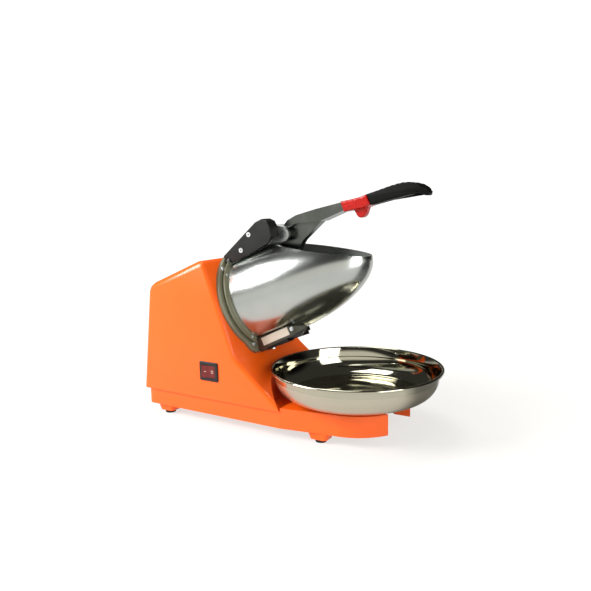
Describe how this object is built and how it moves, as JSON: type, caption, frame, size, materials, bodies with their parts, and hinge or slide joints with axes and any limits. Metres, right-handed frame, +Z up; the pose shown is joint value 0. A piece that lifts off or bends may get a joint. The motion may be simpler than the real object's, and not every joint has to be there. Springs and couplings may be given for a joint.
{
  "type": "shaved ice machine",
  "caption": "Counter-top ice shaver: a motor housing with a leaning open hopper, a hinged press lever, a discharge chute and a loose bowl on a C-shaped seat.",
  "frame": {"origin": "middle of the plan box, on the surface that the feet stand on", "axes": "+X from the motor end to the bowl, +Z up, the XZ plane is the plane of symmetry and the switch is on the -Y side"},
  "size_m": [0.459, 0.25, 0.3543],
  "materials": {
    "orange_abs": "glossy moulded ABS",
    "rubber": "matt rubber",
    "zinc_screw": "zinc-plated steel",
    "black_plastic": "moulded black plastic",
    "satin_black_cover": "satin black moulding",
    "rocker_lens": "translucent dark red rocker",
    "brass": "plain brass",
    "painted_casting": "olive-grey paint on a casting",
    "motor_steel": "drawn steel",
    "motor_cap": "die-cast aluminium",
    "core_steel": "stacked electrical steel",
    "copper": "enamelled copper",
    "bearing_steel": "ground bearing steel",
    "shaft_steel": "turned steel",
    "fan_plastic": "moulded fan",
    "disc_aluminium": "machined aluminium",
    "blade_steel": "ground blade steel",
    "hopper_aluminium": "brushed and polished spun aluminium",
    "guard_sheet": "bent sheet",
    "label": "bare pale strip",
    "bracket_aluminium": "cast aluminium",
    "lever_aluminium": "polished cast aluminium",
    "red_plastic": "glossy red moulding",
    "black_grip": "soft black grip",
    "bowl_steel": "polished stainless steel"
  },
  "bodies": {
    "frame": {"base_tray": "orange_abs", "housing_cover": "orange_abs", "rubber_feet": "rubber", "foot_screws": "zinc_screw", "cover_screws": "zinc_screw", "cord_inlet": "black_plastic", "terminal_block": "black_plastic", "switch_bezel": "black_plastic", "switch_terminals": "brass", "blade_housing": "painted_casting", "housing_screws": "zinc_screw", "motor_screws": "zinc_screw", "motor_case": "motor_steel", "motor_front_cap": "motor_cap", "motor_rear_cap": "motor_cap", "front_bearing": "bearing_steel", "rear_bearing": "bearing_steel", "stator_core": "core_steel", "field_coils": "copper", "brush_holders": "brass", "hopper": "hopper_aluminium", "hopper_screws": "zinc_screw", "discharge_chute": "black_plastic", "deflector_cheek": "black_plastic", "discharge_guard": "guard_sheet", "guard_screw": "zinc_screw", "guard_bolt": "zinc_screw", "label_plate": "label", "hinge_bracket": "bracket_aluminium", "bracket_screws": "zinc_screw", "micro_switch": "black_plastic", "switch_cover": "satin_black_cover", "cover_rivets": "zinc_screw", "hinge_pin": "shaft_steel", "pin_clip": "blade_steel"},
    "cutter": {"motor_shaft": "shaft_steel", "rotor_core": "core_steel", "commutator": "copper", "cooling_fan": "fan_plastic", "cutter_disc": "disc_aluminium", "shaving_blades": "blade_steel", "blade_screws": "zinc_screw", "disc_nut": "zinc_screw"},
    "lever": {"lever_arm": "lever_aluminium", "press_plate": "disc_aluminium", "press_screw": "zinc_screw", "hand_guard": "red_plastic", "hand_grip": "black_grip"},
    "rocker": {"switch_rocker": "rocker_lens"},
    "plunger": {"switch_plunger": "brass"},
    "bowl": {"bowl": "bowl_steel"}
  },
  "joints": [
    {"name": "lever_hinge", "type": "hinge", "parent": "frame", "child": "lever", "pos_m": [-0.00254, 0, 0.28401], "axis": [0, -1, 0], "range_deg": [0, 90]},
    {"name": "cutter_spin", "type": "hinge", "parent": "frame", "child": "cutter", "pos_m": [-0.075, 0, 0.1795], "axis": [0.9336, 0, 0.3584], "continuous": true},
    {"name": "rocker_tilt", "type": "hinge", "parent": "frame", "child": "rocker", "pos_m": [-0.09494, -0.08661, 0.083], "axis": [0, 0, 1], "range_deg": [-16, 0]},
    {"name": "plunger_press", "type": "slide", "parent": "frame", "child": "plunger", "axis": [0, -1, 0], "range_m": [0, 0.0012], "stiffness_N_per_m": 300, "springref_m": -0.001},
    {"name": "bowl_slide", "type": "slide", "parent": "frame", "child": "bowl", "axis": [1, 0, 0], "range_m": [0, 0.21]}
  ]
}
